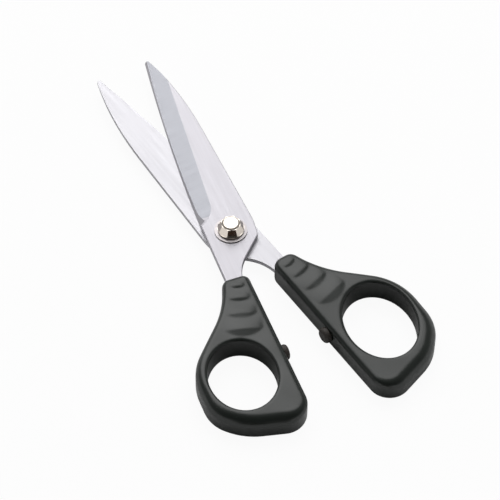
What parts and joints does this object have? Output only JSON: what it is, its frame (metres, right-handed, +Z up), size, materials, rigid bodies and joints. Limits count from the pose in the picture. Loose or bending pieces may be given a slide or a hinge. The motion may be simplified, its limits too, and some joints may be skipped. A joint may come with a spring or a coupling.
{
  "type": "fabric shears",
  "caption": "Scissors for cutting cloth: two steel blades crossed on a screw pivot, moulded thumb and finger bows, a faceted tension nut and rubber stop buffers.",
  "frame": {"origin": "middle of the open shears' outline, on the plane the handles lie on", "axes": "+Y towards the blade tips along the line that halves the opening, +Z up through the pivot towards the tension nut, +X to the finger handle's side"},
  "size_m": [0.0892, 0.1803, 0.0115],
  "materials": {
    "blade_steel": "polished stainless, fine ground bevels",
    "handle_plastic": "black, satin moulded",
    "buffer_rubber": "dark rubber",
    "screw_steel": "turned, bright",
    "washer_nylon": "natural nylon",
    "spring_steel": "bright spring steel",
    "nut_nickel": "polished nickel plate"
  },
  "bodies": {
    "rear_half": {"rear_blade": "blade_steel", "finger_handle": "handle_plastic", "finger_buffer": "buffer_rubber", "pivot_screw": "screw_steel", "slip_washer": "washer_nylon", "spring_washer": "spring_steel", "tension_nut": "nut_nickel"},
    "front_half": {"front_blade": "blade_steel", "thumb_handle": "handle_plastic", "thumb_buffer": "buffer_rubber"}
  },
  "joints": [
    {"name": "pivot", "type": "hinge", "parent": "rear_half", "child": "front_half", "pos_m": [-0.0007, -0.0006, 0], "axis": [0, 0, -1], "range_deg": [-13.6, 118]}
  ]
}
